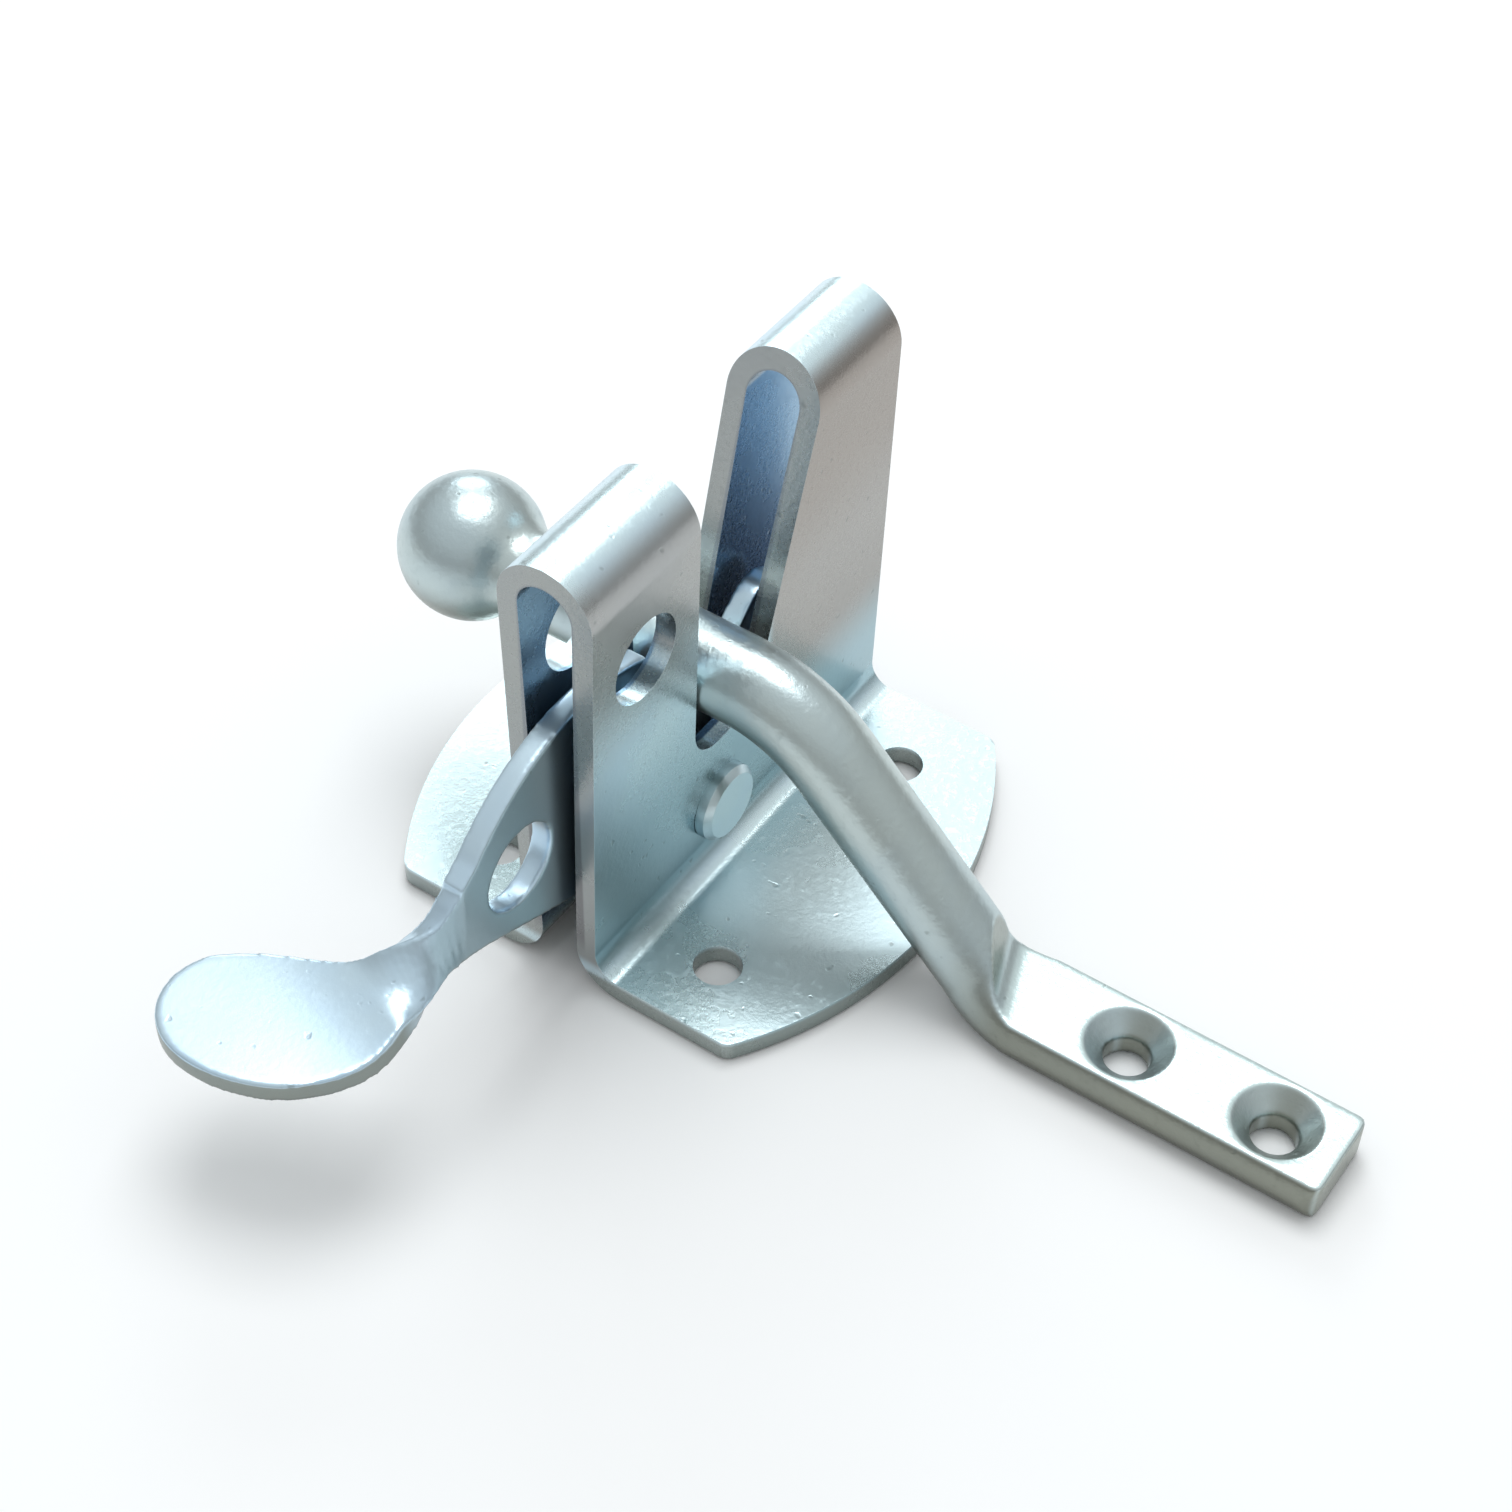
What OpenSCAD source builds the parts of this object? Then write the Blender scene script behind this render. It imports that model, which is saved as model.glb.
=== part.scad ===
// Automatic gate latch with a ball-ended striker bar.
// A folded sheet body with a notch takes the round bar of the striker. A pawl on a rivet
// swings over the bar, and its twisted tail is the thumb lever.
// Millimetres. Z is up out of the mounting plate, Y runs along the channel, X across it.
// The origin is the centre of the four screw holes on the underside of the plate.

/* [Sheet and plate] */
// thickness of the pressed sheet
sheet_t = 2.5; // [2:0.1:2.8]
// plate edge in front of the screw pattern centre
plate_front = 27; // [25:0.5:30]
// plate edge behind the screw pattern centre
plate_rear = 28.2; // [26:0.5:31]
// half width of the plate at its widest place
plate_half_w = 31; // [29:0.5:34]
// half width of the plate at its four corners
plate_corner_w = 22; // [20:0.5:25]
// screw hole spacing across the channel
hole_dx = 30; // [28:0.5:32]
// screw hole spacing along the channel
hole_dy = 36.9; // [34:0.1:39]
// screw hole diameter
hole_d = 5.5; // [4:0.1:6.5]
// inner radius of the fold between wall and flange
fold_r = 3; // [1.5:0.25:3.5]

/* [Channel] */
// overall height of the folded channel
channel_h = 59.6; // [57:0.2:62]
// half width over the walls at the top bend
wall_top = 5.8; // [5.6:0.1:6.4]
// half width over the walls at the plate
wall_foot = 4.8; // [4.6:0.1:5.2]
// height of the notch bottom above the underside
notch_z = 20; // [18:0.5:21]
// front wall of the notch, along the channel
notch_front = -8.9; // [-9.4:0.1:-8.8]
// rear wall of the notch at its bottom, before rounding
notch_rear = 2.2; // [1.8:0.1:4]
// rearward lean of the notch's rear wall, in degrees
notch_lean = 16.5; // [10:0.5:18]
// padlock hole diameter
padlock_d = 10.3; // [7:0.1:11]

/* [Pawl] */
// pawl thickness
pawl_t = 2.6; // [2:0.1:3]
// rivet shank diameter
rivet_d = 5; // [4:0.1:6]
// radial clearance of the pawl on the rivet
pawl_gap = 0.08; // [0.02:0.01:0.1]
// cord hole diameter
cord_d = 10.2; // [6:0.1:11]
// half width of the thumb paddle
paddle_half = 9.8; // [8.5:0.1:10.5]

/* [Striker] */
// rod diameter
rod_d = 10; // [9:0.1:10]
// ball diameter
ball_d = 16.8; // [15:0.1:18]
// height of the rod axis above the underside of the flat end
rod_z = 30.1; // [30.1:0.1:33]
// width of the flattened end
flat_w = 12.6; // [12:0.2:14]
// thickness of the flattened end
flat_t = 5; // [4:0.1:5]
// screw hole diameter in the flattened end
strap_hole_d = 5.1; // [4:0.1:5.4]
// countersink diameter
sink_d = 9.9; // [8:0.1:10.4]

/* [Hidden] */
$fn = 96;
plate_mid = (plate_rear - plate_front) / 2;
plate_half = (plate_rear + plate_front) / 2;
plate_sag = plate_half_w - plate_corner_w;
plate_r = (plate_half * plate_half + plate_sag * plate_sag) / (2 * plate_sag);
arch_z = channel_h - wall_top;
fold_out = fold_r + sheet_t;
pivot_y = -3.9;
pivot_z = 10.2;
padlock_y = -18.1;
padlock_z = 43.8;
cord_y = -34.3;
cord_z = 24.5;
rod_y = -3.6;
ball_x = -28.7;
rod_bend_x = 14.4;
rod_bend_r = 17;
foot_bend_r = 9;
flat_end_x = 83;
shoulder_x = 42.2;
shoulder_skew = 20;
flat_side = 4.3;
strap_x = [57.7, 75.3];

function arc(cy, cz, r, a0, a1, n) =
    [for (i = [0:n]) let (a = a0 + (a1 - a0) * i / n) [cy + r * cos(a), cz + r * sin(a)]];
function unit(v) = v / norm(v);

// Plate outline: two long arcs cut off square at the front and rear, with eased corners.
module plate_outline() {
    ease = 2;
    ease_x = sqrt(pow(plate_r - ease, 2) - pow(plate_half - ease, 2)) - (plate_r - plate_half_w);
    touch = plate_r / (plate_r - ease);
    touch_x = touch * (ease_x + plate_r - plate_half_w) - (plate_r - plate_half_w);
    touch_y = touch * (plate_half - ease);
    translate([0, plate_mid]) {
        intersection() {
            translate([plate_half_w - plate_r, 0]) circle(plate_r, $fn = 240);
            translate([plate_r - plate_half_w, 0]) circle(plate_r, $fn = 240);
            translate([-plate_half_w, -touch_y]) square([2 * plate_half_w, 2 * touch_y]);
        }
        for (sx = [0, 1], sy = [0, 1]) mirror([sx, 0]) mirror([0, sy]) {
            translate([ease_x, plate_half - ease]) circle(ease);
            polygon([[-1, touch_y - 1], [touch_x, touch_y], [ease_x, plate_half], [-1, plate_half]]);
        }
    }
}

// One side of the folded section: wall, fold and the start of the flange.
module half_section() {
    slope = (wall_top - wall_foot) / (arch_z - fold_out);
    polygon([
        [wall_foot - sheet_t, fold_out],
        [wall_foot, fold_out],
        [wall_foot + slope * (arch_z - fold_out), arch_z],
        [wall_top - sheet_t, arch_z]
    ]);
    intersection() {
        difference() {
            translate([wall_foot + fold_r, fold_out]) circle(fold_out);
            translate([wall_foot + fold_r, fold_out]) circle(fold_r);
        }
        translate([wall_foot - sheet_t, 0]) square([fold_out, fold_out]);
    }
    translate([wall_foot + fold_r, 0]) square([6, sheet_t]);
}

// Notch across the channel: upright front wall, leaning rear wall, round corners below.
module notch_profile() {
    r = 4.5;
    lean = tan(notch_lean);
    y_far = notch_rear + lean * r - r / cos(notch_lean);
    polygon([
        [notch_front, notch_z + r],
        [y_far, notch_z + r],
        [y_far + r * cos(notch_lean), notch_z + r - r * sin(notch_lean)],
        [notch_rear + lean * (channel_h + 5 - notch_z), channel_h + 5],
        [notch_front, channel_h + 5]
    ]);
    translate([notch_front + r, notch_z + r]) circle(r);
    translate([y_far, notch_z + r]) circle(r);
    translate([notch_front + r, notch_z]) square([y_far - notch_front - r, r]);
}

module latch_body() color([0.72, 0.80, 0.84]) difference() {
    union() {
        difference() {
            linear_extrude(sheet_t) plate_outline();
            translate([-wall_foot - fold_r - 1, -plate_front - 1, -1])
                cube([2 * (wall_foot + fold_r + 1), 2 * plate_half + 2, sheet_t + 2]);
        }
        translate([0, plate_rear, 0]) rotate([90, 0, 0]) linear_extrude(2 * plate_half) {
            half_section();
            mirror([1, 0]) half_section();
            difference() {
                translate([0, arch_z]) circle(wall_top);
                translate([0, arch_z]) circle(wall_top - sheet_t);
                translate([-20, arch_z - 40]) square([40, 40]);
            }
        }
    }
    translate([-20, 0, 0]) rotate([90, 0, 90]) linear_extrude(40) notch_profile();
    for (sx = [-1, 1], sy = [-1, 1])
        translate([sx * hole_dx / 2, sy * hole_dy / 2, -1]) cylinder(h = sheet_t + 2, d = hole_d);
    translate([-20, padlock_y, padlock_z]) rotate([0, 90, 0]) cylinder(h = 40, d = padlock_d);
    translate([-20, pivot_y, pivot_z]) rotate([0, 90, 0]) cylinder(h = 40, d = rivet_d);
}

// Pawl plate, drawn along the channel and upward: hub, rear lobe with its ramp, the slot the
// rod lies in, the hook over it, and the tail.
module pawl_outline() {
    slot_in = rod_z - pivot_z - rod_d / 2 - 0.9;
    slot_out = rod_z - pivot_z + rod_d / 2 + 0.9;
    polygon(concat(
        arc(10, 26, 4.6, -25, 130, 22),
        arc(pivot_y, pivot_z, slot_in, 73, 141, 16),
        arc(pivot_y, pivot_z, slot_out, 141, 107, 12),
        arc(-22.5, 13.4, 25.6, 66, 137, 28),
        [[-43.5, 29.3], [-43.5, 18.9], [-40.5, 17.9], [-37, 16.4]],
        arc(pivot_y, pivot_z, 7.3, 243, 330, 14)
    ));
}

// Twisted neck and level thumb paddle, swept along a curve that leaves the channel to the side.
// It starts just inside the plate. Each section is given by its share s of the way along the
// curve: the neck is reached at neck_at, the plate lies level from level_at, and the paddle is
// widest at widest.
module tail_sweep() {
    n = 46;
    half_t = 0.99 * pawl_t / 2;
    root = 5.15;
    neck_at = 0.1;
    level_at = 0.37;
    neck = 3.1;
    widest = 0.81;
    across = [-0.925, 0.380, 0];
    p0 = [0, -42.6, 24.1];
    p1 = [0, -58.4, 19.2];
    p2 = [-4.4, -53, 18.4];
    p3 = [-16.8, -69.2, 18.4];
    function point(s) = pow(1 - s, 3) * p0 + 3 * s * pow(1 - s, 2) * p1
        + 3 * s * s * (1 - s) * p2 + pow(s, 3) * p3;
    function dir(s) = unit(pow(1 - s, 2) * (p1 - p0) + 2 * s * (1 - s) * (p2 - p1) + s * s * (p3 - p2));
    function ease(s) = s <= 0 ? 0 : s >= 1 ? 1 : s * s * (3 - 2 * s);
    function turn(s) = 90 * ease(s / level_at);
    function wide(s) = cos(turn(s)) * [0, 0, 1] + sin(turn(s)) * across;
    function flat(s) = unit(cross(wide(s), dir(s)));
    function half_w(s) = s < neck_at ? root - (root - neck) * ease(s / neck_at)
        : s < widest ? neck + (paddle_half - neck) * ease((s - neck_at) / (widest - neck_at))
        : paddle_half * sqrt(max(0.0004, 1 - pow((s - widest) / (1 - widest), 2)));
    // three rings in ten go into the rounded tip
    body = 0.7;
    st = [for (i = [0:n]) let (q = i / n) q < body ? q * widest / body
        : widest + (1 - widest) * sin(90 * (q - body) / (1 - body))];
    pts = [for (s = st) let (c = point(s), u = wide(s) * half_w(s), f = flat(s) * half_t)
        each [c - u - f, c + u - f, c + u + f, c - u + f]];
    sides = [for (i = [0:n - 1], k = [0:3]) let (a = 4 * i + k, b = 4 * i + (k + 1) % 4)
        each [[a, b, a + 4], [b, b + 4, a + 4]]];
    polyhedron(pts, concat(sides, [[0, 2, 1], [0, 3, 2]],
        [[4 * n, 4 * n + 1, 4 * n + 2], [4 * n, 4 * n + 2, 4 * n + 3]]));
}

module pawl() color([0.66, 0.76, 0.82]) {
    difference() {
        translate([-pawl_t / 2, 0, 0]) rotate([90, 0, 90]) linear_extrude(pawl_t) pawl_outline();
        translate([-10, pivot_y, pivot_z]) rotate([0, 90, 0]) cylinder(h = 20, d = rivet_d + 2 * pawl_gap);
        translate([-10, cord_y, cord_z]) rotate([0, 90, 0]) cylinder(h = 20, d = cord_d);
    }
    tail_sweep();
}

module pivot_rivet() color([0.75, 0.82, 0.85]) {
    grip = wall_foot + (wall_top - wall_foot) * (pivot_z - fold_out) / (arch_z - fold_out) + 0.06;
    translate([0, pivot_y, pivot_z]) rotate([0, 90, 0]) {
        translate([0, 0, -grip - 0.5]) cylinder(h = 2 * grip + 1, d = rivet_d);
        translate([0, 0, grip]) cylinder(h = 1.1, d = 9.4);
        translate([0, 0, grip + 1.1]) cylinder(h = 0.7, d1 = 9.4, d2 = 8);
        translate([0, 0, -grip - 0.8]) cylinder(h = 0.8, d = 8.4);
        translate([0, 0, -grip - 1.5]) cylinder(h = 0.7, d1 = 6.4, d2 = 8.4);
    }
}

// Ball, neck fillet and the straight rod, turned about the rod axis.
module knob_profile(len) {
    ball_r = ball_d / 2;
    rod_r = rod_d / 2;
    neck_r = 4;
    neck_x = sqrt(pow(ball_r + neck_r, 2) - pow(rod_r + neck_r, 2));
    touch = ball_r / (ball_r + neck_r);
    intersection() {
        circle(ball_r);
        translate([0, -ball_r]) square([ball_r, 2 * ball_r]);
    }
    difference() {
        polygon([
            [0, touch * neck_x],
            [touch * (rod_r + neck_r), touch * neck_x],
            [rod_r + neck_r, neck_x],
            [0, neck_x]
        ]);
        translate([rod_r + neck_r, neck_x]) circle(neck_r);
    }
    square([rod_r, len]);
}

// Stations along the crank: x, z, run x, run z, then the section's half width, side radius
// and depth below the path. The round bar turns into the flat's bulging sides in the foot bend.
function crank_stations(slope_x, cut1, cut2, flat_mid) = concat(
    [[rod_bend_x - cut1 - 1, rod_z, 1, 0, rod_d / 2, rod_d / 2, rod_d / 2]],
    [for (a = [90:-4.5:45]) [
        rod_bend_x - cut1 + rod_bend_r * cos(a),
        rod_z - rod_bend_r + rod_bend_r * sin(a),
        sin(a), -cos(a), rod_d / 2, rod_d / 2, rod_d / 2
    ]],
    [for (i = [0:15]) let (a = 225 + 3 * i, q = i / 15) [
        slope_x + cut2 + foot_bend_r * cos(a),
        flat_mid + foot_bend_r + foot_bend_r * sin(a),
        -sin(a), cos(a),
        rod_d / 2 + q * (flat_w - rod_d) / 2,
        rod_d / 2 + q * (flat_side - rod_d / 2),
        rod_d / 2 + q * (flat_t - rod_d) / 2
    ]],
    [[shoulder_x + 9, flat_mid, 1, 0, flat_w / 2, flat_side, flat_t / 2]]
);

// Tube through the stations, a touch slimmer than the solids it runs into.
module crank_sweep(stations) {
    m = 40;
    n = len(stations) - 1;
    pts = [for (q = stations, k = [0:m - 1]) let (
        a = 360 * (k + 0.5) / m,
        side = 0.995 * ((cos(a) > 0 ? 1 : -1) * (q[4] - q[5]) + q[5] * cos(a)),
        rise = 0.995 * max(-q[6], q[5] * sin(a))
    ) [q[0] - rise * q[3], side, q[1] + rise * q[2]]];
    skin = [for (i = [0:n - 1], k = [0:m - 1]) let (a = m * i + k, b = m * i + (k + 1) % m)
        each [[a, a + m, b], [b, a + m, b + m]]];
    cap0 = [[for (k = [0:m - 1]) k]];
    cap1 = [[for (k = [m - 1:-1:0]) m * n + k]];
    polyhedron(pts, concat(skin, cap0, cap1));
}

// Section of the flattened end: flat above and below, bulging at both sides.
module flat_section() {
    intersection() {
        translate([-flat_w / 2, 0]) square([flat_w, flat_t]);
        union() {
            for (s = [-1, 1]) translate([s * (flat_w / 2 - flat_side), flat_t / 2]) circle(flat_side);
            translate([flat_side - flat_w / 2, 0]) square([flat_w - 2 * flat_side, flat_t]);
        }
    }
}

// Metal pressed away above the flattened end: a leaning shoulder with a scooped foot.
module shoulder_cut() {
    r = 3;
    lean = 74;
    run = r / tan(90 - lean / 2);
    translate([shoulder_x, 0, flat_t]) rotate([0, 0, shoulder_skew]) rotate([90, 0, 0])
        translate([0, 0, -20]) linear_extrude(40) {
            polygon([
                [run, 0],
                [60, 0],
                [60, 40],
                [-40 * cos(lean), 40 * sin(lean)],
                [-run * cos(lean), run * sin(lean)]
            ]);
            translate([run, r]) circle(r);
        }
}

module striker_bar() color([0.70, 0.78, 0.78]) {
    flat_mid = flat_t / 2;
    slope_x = rod_bend_x + rod_z - flat_mid;
    cut1 = rod_bend_r * tan(22.5);
    cut2 = foot_bend_r * tan(22.5);
    translate([0, rod_y, 0]) difference() {
        union() {
            translate([ball_x, 0, rod_z]) rotate([0, 90, 0])
                rotate_extrude() knob_profile(rod_bend_x - cut1 - ball_x);
            crank_sweep(crank_stations(slope_x, cut1, cut2, flat_mid));
            translate([slope_x + cut2, 0, 0]) rotate([90, 0, 90])
                linear_extrude(flat_end_x - slope_x - cut2) flat_section();
        }
        shoulder_cut();
        // the outside of the foot bend is pressed flat with the mounting face
        translate([slope_x - 12, -20, -20]) cube([30, 40, 20]);
        for (x = strap_x) {
            translate([x, 0, -1]) cylinder(h = flat_t + 2, d = strap_hole_d);
            translate([x, 0, flat_t - (sink_d - strap_hole_d) / 2])
                cylinder(h = (sink_d - strap_hole_d) / 2 + 0.001, d1 = strap_hole_d, d2 = sink_d);
        }
        for (sy = [-1, 1]) translate([flat_end_x - 2, sy * (flat_w / 2 - 2), -1]) difference() {
            translate([0, sy > 0 ? 0 : -3, 0]) cube([3, 3, flat_t + 2]);
            cylinder(h = flat_t + 2, r = 2);
        }
    }
}

latch_body();
pawl();
pivot_rivet();
striker_bar();
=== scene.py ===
import bpy
import math
from mathutils import Matrix, Vector

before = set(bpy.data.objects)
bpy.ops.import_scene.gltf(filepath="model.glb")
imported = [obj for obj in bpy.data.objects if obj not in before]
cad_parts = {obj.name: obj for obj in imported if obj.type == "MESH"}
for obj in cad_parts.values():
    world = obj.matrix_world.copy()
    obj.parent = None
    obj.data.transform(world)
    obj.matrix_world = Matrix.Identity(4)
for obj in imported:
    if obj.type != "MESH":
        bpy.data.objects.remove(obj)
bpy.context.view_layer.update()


# ---------------------------------------------------------------- node helpers
class Graph:
    """Small wrapper for building a shader node tree."""

    def __init__(self, tree):
        self.tree = tree
        self.nodes = tree.nodes
        self.nodes.clear()

    def add(self, kind, inputs=None, **props):
        node = self.nodes.new(kind)
        for key, value in props.items():
            setattr(node, key, value)
        for key, value in (inputs or {}).items():
            self.put(node.inputs[key], value)
        return node

    def put(self, socket, value):
        if isinstance(value, bpy.types.NodeSocket):
            self.tree.links.new(value, socket)
        else:
            socket.default_value = value

    def math(self, op, a, b=0.0):
        return self.add("ShaderNodeMath", {0: a, 1: b}, operation=op).outputs[0]

    def times(self, a, b):
        return self.math("MULTIPLY", a, b)

    def plus(self, a, b):
        return self.math("ADD", a, b)

    def ramp(self, value, start, end):
        """0 at start, 1 at end, smooth between. The end may be the lower of the two."""
        limits = {"Value": value, "From Min": start, "From Max": end}
        node = self.add("ShaderNodeMapRange", limits, interpolation_type="SMOOTHSTEP")
        return node.outputs["Result"]

    def mix(self, share, a, b):
        node = self.add("ShaderNodeMix", data_type="RGBA", blend_type="MIX")
        self.put(node.inputs["Factor"], share)
        self.put(node.inputs["A"], a)
        self.put(node.inputs["B"], b)
        return node.outputs["Result"]

    def paint(self, colour, mask, amount, coat):
        """Lay coat over colour where mask is 1, as strongly as amount."""
        return self.mix(self.times(mask, amount), colour, coat)

    def noise(self, place, scale, detail, rough):
        inputs = {"Vector": place, "Scale": scale, "Detail": detail, "Roughness": rough}
        return self.add("ShaderNodeTexNoise", inputs).outputs["Fac"]

    def split(self, vector):
        """The X, Y and Z outputs of a vector."""
        return self.add("ShaderNodeSeparateXYZ", {0: vector}).outputs


def rgb(r, g, b):
    return (r, g, b, 1.0)


# ---------------------------------------------------------------- zinc plate
METALLIC = 0.92
COAT_IOR = 1.6
CLOUD_SHIFT = (0.93, 0.97, 1.03)   # base colour times this, in the bluer clouds
CLOUD_ROUGHNESS = 0.12
GRAIN_ROUGHNESS = 0.15
PIT_DARKNESS = 0.35
PIT_COLOUR = rgb(0.16, 0.19, 0.18)
GRAIN_HEIGHT = 0.5
PIT_HEIGHT = -0.6
DENT_HEIGHT = 1.5
BUMP_STRENGTH = 0.22
BUMP_DISTANCE = 0.0002


def zinc(name, base, rough, painted_light=None, grain=1.0, dent=0.6):
    """Bright zinc plate. base is its colour, painted_light(g, xyz, nrm, colour) may paint light and
    shade into it by place.
    """
    mat = bpy.data.materials.new(name)
    mat.use_nodes = True
    g = Graph(mat.node_tree)
    out = g.add("ShaderNodeOutputMaterial")
    shader = g.add("ShaderNodeBsdfPrincipled", {"Metallic": METALLIC, "IOR": COAT_IOR})
    g.put(out.inputs["Surface"], shader.outputs["BSDF"])
    place = g.add("ShaderNodeTexCoord").outputs["Object"]
    xyz = g.split(place)
    nrm = g.split(g.add("ShaderNodeNewGeometry").outputs["Normal"])
    cloud = g.noise(place, 60.0, 3.0, 0.55)
    fine = g.noise(place, 1400.0, 2.0, 0.6)
    pit = g.noise(place, 700.0, 1.0, 0.5)
    swell = g.noise(place, 130.0, 1.0, 0.4)

    bluer = rgb(*[part * shift for part, shift in zip(base, CLOUD_SHIFT)])
    colour = g.mix(g.ramp(cloud, 0.35, 0.68), rgb(*base), bluer)
    if painted_light:
        colour = painted_light(g, xyz, nrm, colour)
    colour = g.paint(colour, g.ramp(pit, 0.72, 0.80), PIT_DARKNESS, PIT_COLOUR)
    g.put(shader.inputs["Base Color"], colour)

    # the clouds move the roughness about its mean, the grain only adds to it
    roughness = g.plus(g.times(cloud, CLOUD_ROUGHNESS), rough - CLOUD_ROUGHNESS / 2)
    roughness = g.plus(roughness, g.times(g.ramp(fine, 0.5, 0.9), GRAIN_ROUGHNESS * grain))
    g.put(shader.inputs["Roughness"], roughness)

    height = g.plus(g.times(fine, GRAIN_HEIGHT * grain), g.times(g.ramp(pit, 0.70, 0.80), PIT_HEIGHT))
    height = g.plus(height, g.times(swell, DENT_HEIGHT * dent))
    relief = {"Strength": BUMP_STRENGTH, "Distance": BUMP_DISTANCE, "Height": height}
    g.put(shader.inputs["Normal"], g.add("ShaderNodeBump", relief).outputs["Normal"])
    return mat


# ---------------------------------------------------------------- painted light and shade by place and by face direction
# Places are in metres in the shared frame: X to the right, Y to the rear, Z up from the plate's back.
# A face direction of 1 or -1 is straight along the axis.
SHEET = 0.0025
CHANNEL_TOP = 0.0596
ARCH_OUTER = 0.0058
ARCH_INNER = ARCH_OUTER - SHEET
ARCH_Z = CHANNEL_TOP - ARCH_OUTER
INSIDE_FADE = 0.0003

# Most colours below are painted light: painted shade below, on rims, edges and the blade, painted
# highlights on tops, painted reflections on the right-hand walls.
UNDERSIDE_SHADE = rgb(0.17, 0.17, 0.14)
TOP_HIGHLIGHT = rgb(0.76, 0.92, 0.93)
WALL_WARM_REFLECTION = rgb(0.33, 0.30, 0.275)
WALL_REAR_WARM_REFLECTION = rgb(0.34, 0.30, 0.27)
WALL_TEAL_REFLECTION = rgb(0.27, 0.43, 0.48)
WALL_SHADE = rgb(0.36, 0.45, 0.50)
INSIDE_DEEP_SHADE = rgb(0.09, 0.17, 0.28)
INSIDE_SHALLOW_SHADE = rgb(0.33, 0.50, 0.66)
CUT_EDGE_SHADE = rgb(0.27, 0.245, 0.22)
PLATE_RIM_SHADE = rgb(0.22, 0.22, 0.18)
BAR_FRONT_SHADE = rgb(0.21, 0.21, 0.165)
BAR_FLAT_HIGHLIGHT = rgb(0.78, 0.93, 0.92)
BAR_END_SHADE = rgb(0.24, 0.24, 0.19)
BLADE_SIDE_SHADE = rgb(0.31, 0.42, 0.46)
PADDLE_RIM_SHADE = rgb(0.21, 0.22, 0.18)


def darker_below(g, nrm, colour):
    """Painted shade: faces that look down are darkened to an olive grey."""
    return g.paint(colour, g.ramp(nrm[2], 0.12, -0.45), 0.8, UNDERSIDE_SHADE)


def channel_inside(g, xyz):
    """1 up to the inner faces of the channel and its arches, fading to 0 just inside the metal."""
    x, z = xyz[0], xyz[2]
    rise = g.math("MAXIMUM", g.math("SUBTRACT", z, ARCH_Z), 0.0)
    reach = g.math("SQRT", g.plus(g.times(x, x), g.times(rise, rise)))
    return g.times(g.ramp(reach, ARCH_INNER + INSIDE_FADE, ARCH_INNER), g.ramp(z, 0.004, 0.008))


def sheet_painted_light(g, xyz, nrm, colour):
    y, z = xyz[1], xyz[2]
    # painted reflections on the right-hand walls: a warm grey high up and on the rear tower, a cool
    # teal low down
    right_wall = g.ramp(nrm[0], 0.45, 0.95)
    high = g.times(g.ramp(z, 0.030, 0.047), right_wall)
    low = g.times(g.ramp(z, 0.036, 0.016), right_wall)
    rear = g.times(g.ramp(y, 0.004, 0.006), g.times(g.ramp(z, 0.010, 0.022), right_wall))
    colour = g.paint(colour, high, 0.8, WALL_WARM_REFLECTION)
    colour = g.paint(colour, low, 0.7, WALL_TEAL_REFLECTION)
    colour = g.paint(colour, rear, 0.85, WALL_REAR_WARM_REFLECTION)
    # painted highlight: the flanges and arch tops, which look up, are the palest
    colour = g.paint(colour, g.ramp(nrm[2], 0.75, 0.97), 0.6, TOP_HIGHLIGHT)
    # the left-hand walls face away from the light
    colour = g.paint(colour, g.ramp(nrm[0], -0.5, -0.95), 0.5, WALL_SHADE)
    # the channel is steel blue inside, with painted shade darkening it towards the plate
    blue = g.mix(g.ramp(z, 0.024, 0.042), INSIDE_DEEP_SHADE, INSIDE_SHALLOW_SHADE)
    colour = g.mix(channel_inside(g, xyz), colour, blue)
    # painted shade: the front cut edges of the walls are darkened to a brown-grey and the rim of the
    # plate to a dark olive
    edge = g.times(g.ramp(nrm[1], -0.80, -0.95), g.ramp(z, 0.0028, 0.0045))
    colour = g.paint(colour, edge, 0.75, CUT_EDGE_SHADE)
    rim = g.times(g.ramp(nrm[2], 0.35, 0.05), g.ramp(z, 0.0026, 0.0018))
    colour = g.paint(colour, rim, 0.7, PLATE_RIM_SHADE)
    return darker_below(g, nrm, colour)


def bar_painted_light(g, xyz, nrm, colour):
    # the flattened end: painted shade on its front edge and end face, a painted highlight on its top
    front = g.times(g.ramp(nrm[1], -0.45, -0.85), g.ramp(xyz[0], 0.034, 0.046))
    colour = g.paint(colour, front, 0.85, BAR_FRONT_SHADE)
    flat = g.times(g.ramp(nrm[2], 0.80, 0.97), g.ramp(xyz[0], 0.038, 0.044))
    colour = g.paint(colour, flat, 0.85, BAR_FLAT_HIGHLIGHT)
    colour = g.paint(colour, g.ramp(nrm[0], 0.75, 0.95), 0.7, BAR_END_SHADE)
    return darker_below(g, nrm, colour)


def pawl_painted_light(g, xyz, nrm, colour):
    # painted shade: the upright blade's sides are darkened to teal as far as the neck, and the
    # paddle's steep edge to a dark olive
    upright = g.ramp(g.math("ABSOLUTE", nrm[0]), 0.6, 0.9)
    side = g.times(upright, g.ramp(xyz[1], -0.052, -0.046))
    colour = g.paint(colour, side, 0.8, BLADE_SIDE_SHADE)
    steep = g.ramp(g.math("ABSOLUTE", nrm[2]), 0.45, 0.15)
    rim = g.times(steep, g.ramp(xyz[1], -0.052, -0.056))
    colour = g.paint(colour, rim, 0.85, PADDLE_RIM_SHADE)
    return darker_below(g, nrm, colour)


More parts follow.
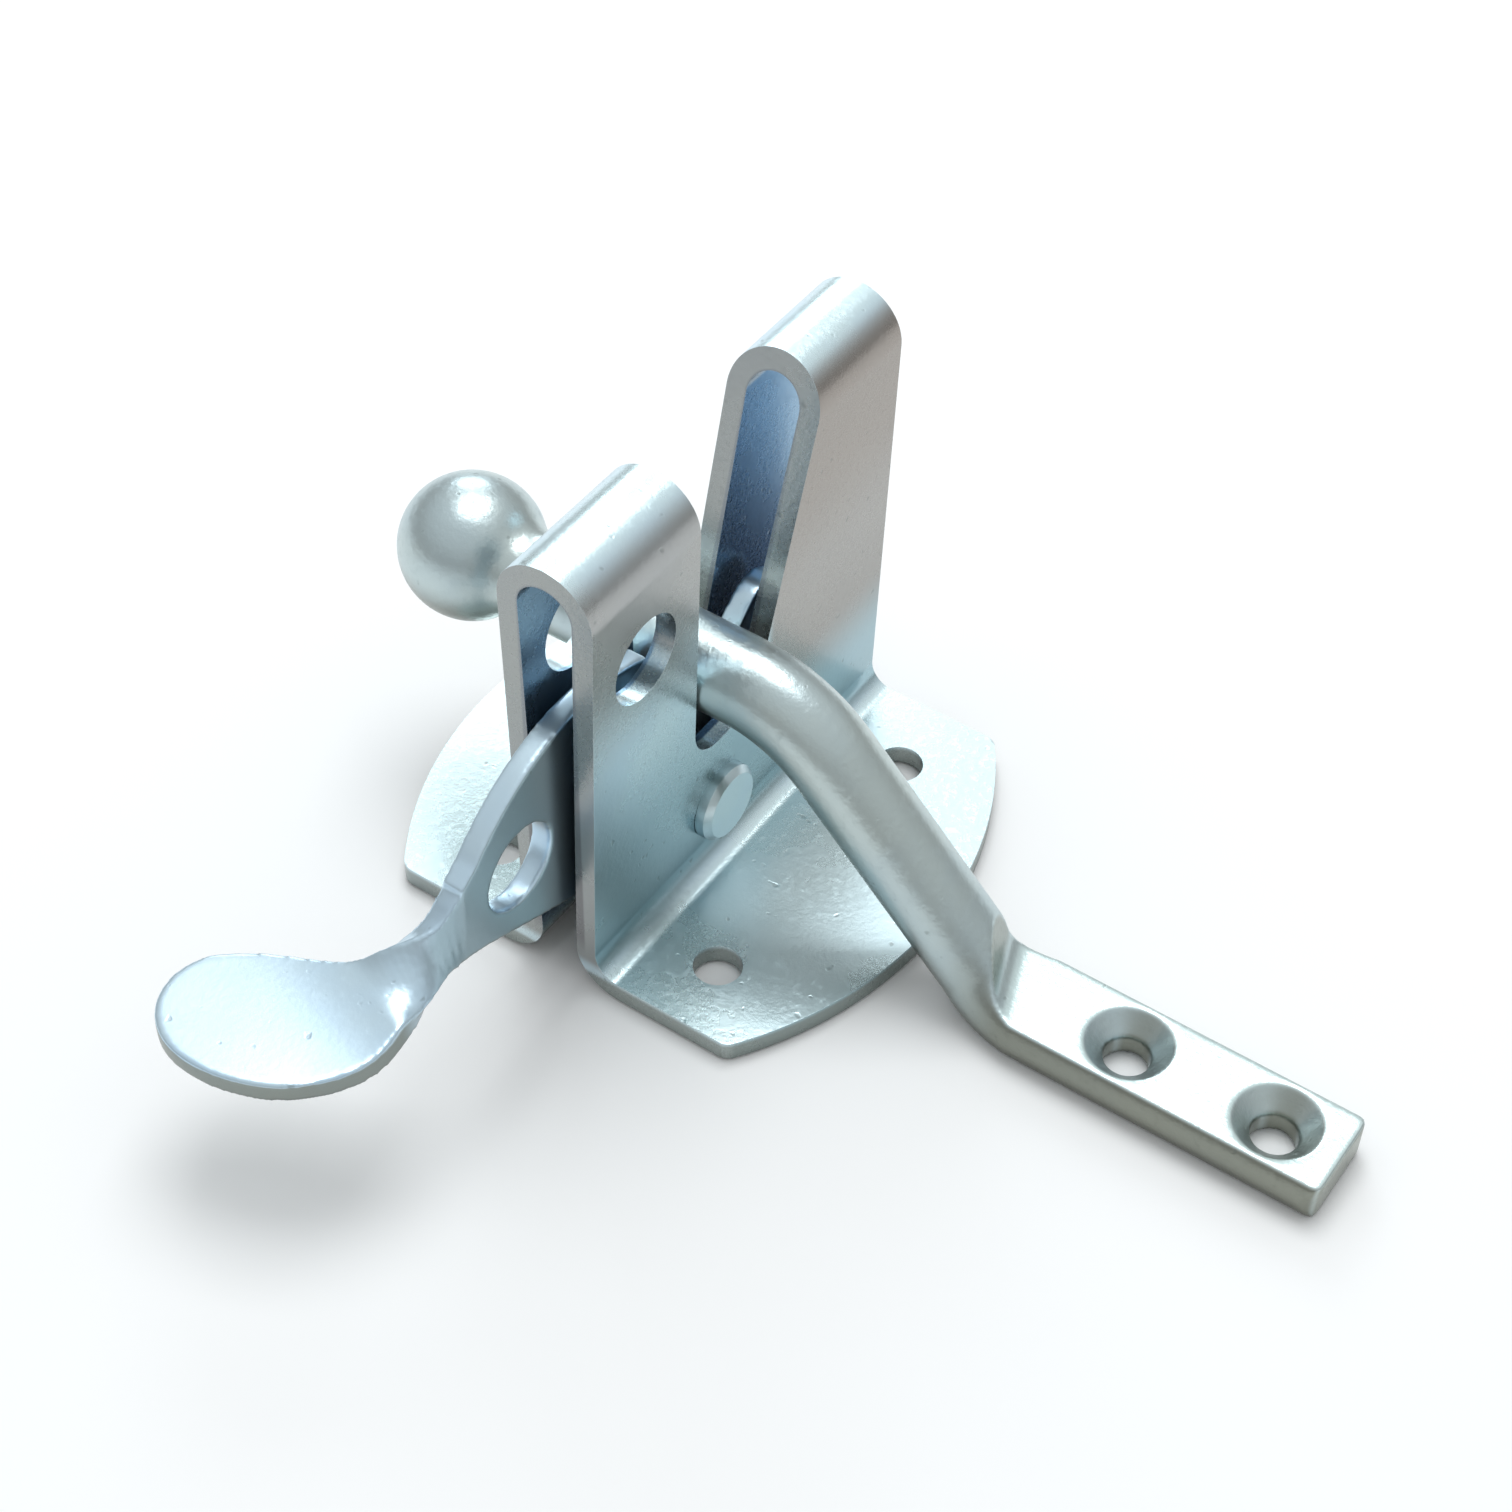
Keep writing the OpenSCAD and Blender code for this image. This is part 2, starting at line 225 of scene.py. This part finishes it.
# ---------------------------------------------------------------- pieces
WELD_GAP = 0.00001
BEVEL_ANGLE = math.radians(35)
BEVEL_SEGMENTS = 3
NORMAL_WEIGHT = 80


def plate_piece(obj, mat):
    """Give a CAD piece its material and join its doubled points."""
    obj.data.materials.clear()
    obj.data.materials.append(mat)
    weld = obj.modifiers.new("weld", "WELD")
    weld.merge_threshold = WELD_GAP


def round_edges(obj, width):
    """Bevel the sharp edges and keep the flat faces flat."""
    bevel = obj.modifiers.new("bevel", "BEVEL")
    bevel.width = width
    bevel.segments = BEVEL_SEGMENTS
    bevel.limit_method = "ANGLE"
    bevel.angle_limit = BEVEL_ANGLE
    bevel.use_clamp_overlap = True
    bevel.harden_normals = False
    for face in obj.data.polygons:
        face.use_smooth = True
    normals = obj.modifiers.new("normals", "WEIGHTED_NORMAL")
    normals.keep_sharp = True
    normals.weight = NORMAL_WEIGHT


def soften(obj, voxel, rounds):
    """Even out the swept surfaces and ease every edge by about one voxel."""
    grid = obj.modifiers.new("remesh", "REMESH")
    grid.mode = "VOXEL"
    grid.voxel_size = voxel
    grid.use_smooth_shade = True
    relax = obj.modifiers.new("relax", "SMOOTH")
    relax.factor = 0.5
    relax.iterations = rounds


latch_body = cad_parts["latch_body"]
plate_piece(latch_body, zinc("zinc_sheet", (0.72, 0.86, 0.90), 0.27, sheet_painted_light))
round_edges(latch_body, 0.00045)

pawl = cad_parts["pawl"]
plate_piece(pawl, zinc("zinc_pawl", (0.60, 0.75, 0.84), 0.32, pawl_painted_light, grain=0.5))
soften(pawl, 0.00026, 9)

pivot_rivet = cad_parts["pivot_rivet"]
plate_piece(pivot_rivet, zinc("zinc_rivet", (0.62, 0.74, 0.76), 0.32))
round_edges(pivot_rivet, 0.0004)

striker_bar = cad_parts["striker_bar"]
plate_piece(striker_bar, zinc("zinc_rod", (0.55, 0.63, 0.62), 0.31, bar_painted_light, grain=1.8, dent=2.2))
soften(striker_bar, 0.00030, 5)

# ---------------------------------------------------------------- floor
FLOOR_SIZE = 6.0
FLOOR_DROP = 0.0003   # below the plate's back, so that the two faces don't coincide

bpy.ops.mesh.primitive_plane_add(size=FLOOR_SIZE, location=(0, 0, -FLOOR_DROP))
floor = bpy.context.object
floor.name = "floor"
mat_floor = bpy.data.materials.new("floor_paper")
mat_floor.use_nodes = True
paper = Graph(mat_floor.node_tree)
paper_out = paper.add("ShaderNodeOutputMaterial")
paper_look = {"Base Color": rgb(0.95, 0.95, 0.95), "Roughness": 0.9}
paper_bsdf = paper.add("ShaderNodeBsdfPrincipled", paper_look)
paper.put(paper_out.inputs["Surface"], paper_bsdf.outputs["BSDF"])
floor.data.materials.append(mat_floor)

# ---------------------------------------------------------------- lights
SKY_LOW = rgb(0.50, 0.50, 0.49)
SKY_HIGH = rgb(0.95, 0.985, 1.0)
SKY_STRENGTH = 0.74

world = bpy.data.worlds.new("studio")
bpy.context.scene.world = world
world.use_nodes = True
sky = Graph(world.node_tree)
sky_out = sky.add("ShaderNodeOutputWorld")
ray = sky.split(sky.add("ShaderNodeTexCoord").outputs["Generated"])
sky_colour = sky.mix(sky.ramp(ray[2], 0.02, 0.75), SKY_LOW, SKY_HIGH)
backdrop = sky.add("ShaderNodeBackground", {"Color": sky_colour, "Strength": SKY_STRENGTH})
sky.put(sky_out.inputs["Surface"], backdrop.outputs["Background"])


def lamp(name, place, aim, size, power, colour):
    """A square area lamp at place, turned to aim, size in metres and power in watts."""
    data = bpy.data.lights.new(name, "AREA")
    data.shape = "SQUARE"
    data.size = size
    data.energy = power
    data.color = colour
    obj = bpy.data.objects.new(name, data)
    bpy.context.collection.objects.link(obj)
    obj.location = place
    obj.rotation_euler = (Vector(aim) - Vector(place)).to_track_quat("-Z", "Y").to_euler()


lamp("top_soft", (-0.10, 0.20, 0.80), (0, 0, 0), 0.45, 2.9, (0.97, 0.99, 1.0))
lamp("back_soft", (-0.45, 0.55, 0.40), (0, 0, 0.02), 0.35, 1.2, (0.86, 0.95, 1.0))

# ---------------------------------------------------------------- camera
# It looks down on the front right. These values were fitted to the photograph.
AZIMUTH = math.radians(33.286)
ELEVATION = math.radians(46.721)
ROLL = math.radians(1.52)
DISTANCE = 0.333595
SHIFT_RIGHT = 0.005967
SHIFT_UP = 0.00744
SENSOR_MM = 36.0
LENS_MM = 68.9143
CLIP_START = 0.01

level = math.cos(ELEVATION)
back = Vector((math.sin(AZIMUTH) * level, -math.cos(AZIMUTH) * level, math.sin(ELEVATION)))
right = Vector((math.cos(AZIMUTH), math.sin(AZIMUTH), 0.0))
up = back.cross(right)
cam_x = right * math.cos(ROLL) + up * math.sin(ROLL)
cam_y = up * math.cos(ROLL) - right * math.sin(ROLL)
turn = Matrix((cam_x, cam_y, back)).transposed()
eye = SHIFT_RIGHT * right + SHIFT_UP * up + DISTANCE * back

cam_data = bpy.data.cameras.new("camera")
cam_data.sensor_width = SENSOR_MM
cam_data.lens = LENS_MM
cam_data.clip_start = CLIP_START
camera = bpy.data.objects.new("camera", cam_data)
bpy.context.collection.objects.link(camera)
camera.matrix_world = Matrix.Translation(eye) @ turn.to_4x4()
bpy.context.scene.camera = camera
bpy.context.scene.view_settings.view_transform = "Standard"
